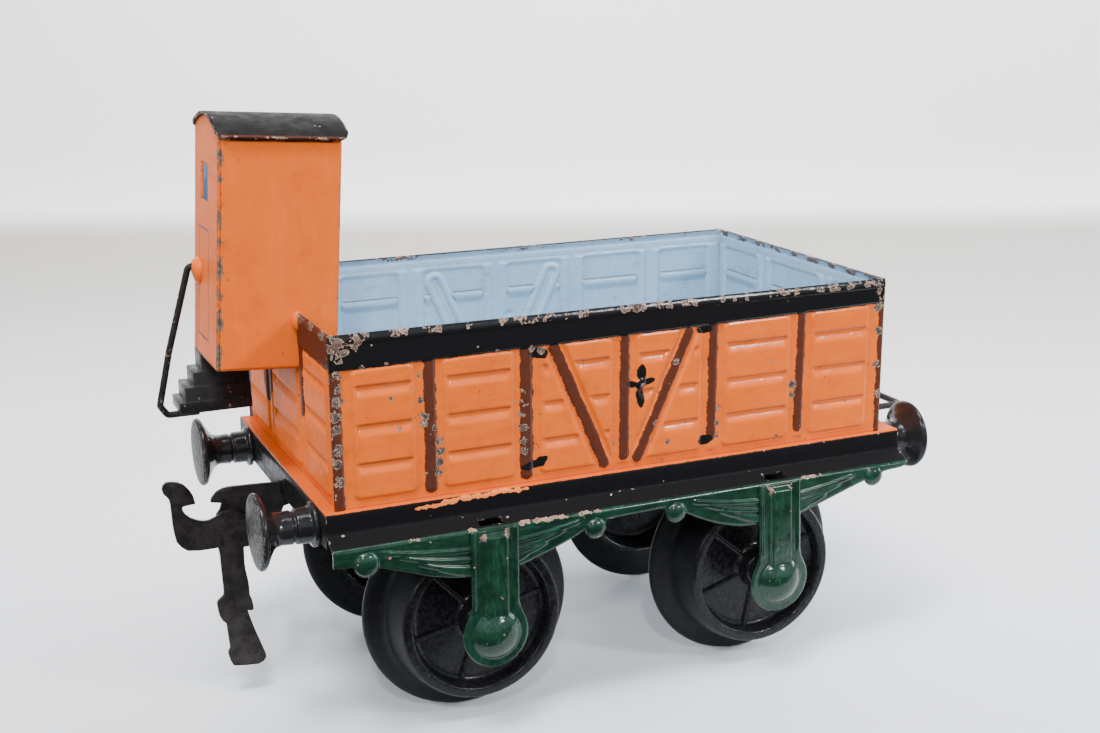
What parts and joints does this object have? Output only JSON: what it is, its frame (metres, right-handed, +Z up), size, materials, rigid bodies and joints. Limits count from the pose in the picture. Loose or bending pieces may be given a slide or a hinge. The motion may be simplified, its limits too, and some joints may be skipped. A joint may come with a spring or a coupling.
{
  "type": "tinplate model goods wagon with brakeman's hut",
  "caption": "Antique-style pressed tinplate open goods wagon with a brakeman's hut at one end, cast wheels, sprung-look frame and a swinging hook coupling.",
  "frame": {"origin": "middle of the wagon at the level the wheel flanges stand on", "axes": "+X along the wagon towards the plain end (the hut stands at the -X end), +Y across the wagon, +Z up"},
  "size_m": [0.158, 0.0768, 0.1095],
  "materials": {
    "orange_enamel": "gloss, brushed by hand, chipped",
    "black_enamel": "gloss, chipped",
    "green_enamel": "gloss, chipped",
    "wheel_iron": "black lacquer over cast metal",
    "axle_steel": "drawn wire, dull",
    "blued_steel": "blued and worn"
  },
  "bodies": {
    "wagon": {"axle_cap_far_left": "green_enamel", "axle_cap_far_right": "green_enamel", "axle_cap_near_left": "green_enamel", "axle_cap_near_right": "green_enamel", "axle_guard_far_left": "green_enamel", "axle_guard_far_right": "green_enamel", "axle_guard_near_left": "green_enamel", "axle_guard_near_right": "green_enamel", "buffer_beam_left": "black_enamel", "buffer_beam_right": "black_enamel", "buffer_far_left": "black_enamel", "buffer_far_right": "black_enamel", "buffer_near_left": "black_enamel", "buffer_near_right": "black_enamel", "chassis_plate": "green_enamel", "coupling_plate": "blued_steel", "floor_sheet": "orange_enamel", "handrail": "black_enamel", "hook_rivet": "blued_steel", "hut_outer_end": "orange_enamel", "hut_roof": "black_enamel", "hut_wrap": "orange_enamel", "link_bracket": "blued_steel", "solder_lump": "orange_enamel", "steps": "black_enamel", "wall_far": "orange_enamel", "wall_hut_end": "orange_enamel", "wall_near": "orange_enamel", "wall_plain_end": "orange_enamel"},
    "wheelset_left": {"axle_left": "axle_steel", "wheel_near_left": "wheel_iron", "wheel_far_left": "wheel_iron"},
    "wheelset_right": {"axle_right": "axle_steel", "wheel_near_right": "wheel_iron", "wheel_far_right": "wheel_iron"},
    "coupling_hook": {"hook": "blued_steel"},
    "coupling_link": {"link": "blued_steel"}
  },
  "joints": [
    {"name": "left_axle", "type": "hinge", "parent": "wagon", "child": "wheelset_left", "pos_m": [-0.02887, 0, 0.01984], "axis": [0, 1, 0], "continuous": true},
    {"name": "right_axle", "type": "hinge", "parent": "wagon", "child": "wheelset_right", "pos_m": [0.02887, 0, 0.01984], "axis": [0, 1, 0], "continuous": true},
    {"name": "hook_pivot", "type": "hinge", "parent": "wagon", "child": "coupling_hook", "pos_m": [-0.0616, 0, 0.0326], "axis": [0, 1, 0], "range_deg": [0, 40]},
    {"name": "link_pivot", "type": "hinge", "parent": "wagon", "child": "coupling_link", "pos_m": [0.0606, 0, 0.0404], "axis": [0, -1, 0], "range_deg": [0, 90]}
  ]
}
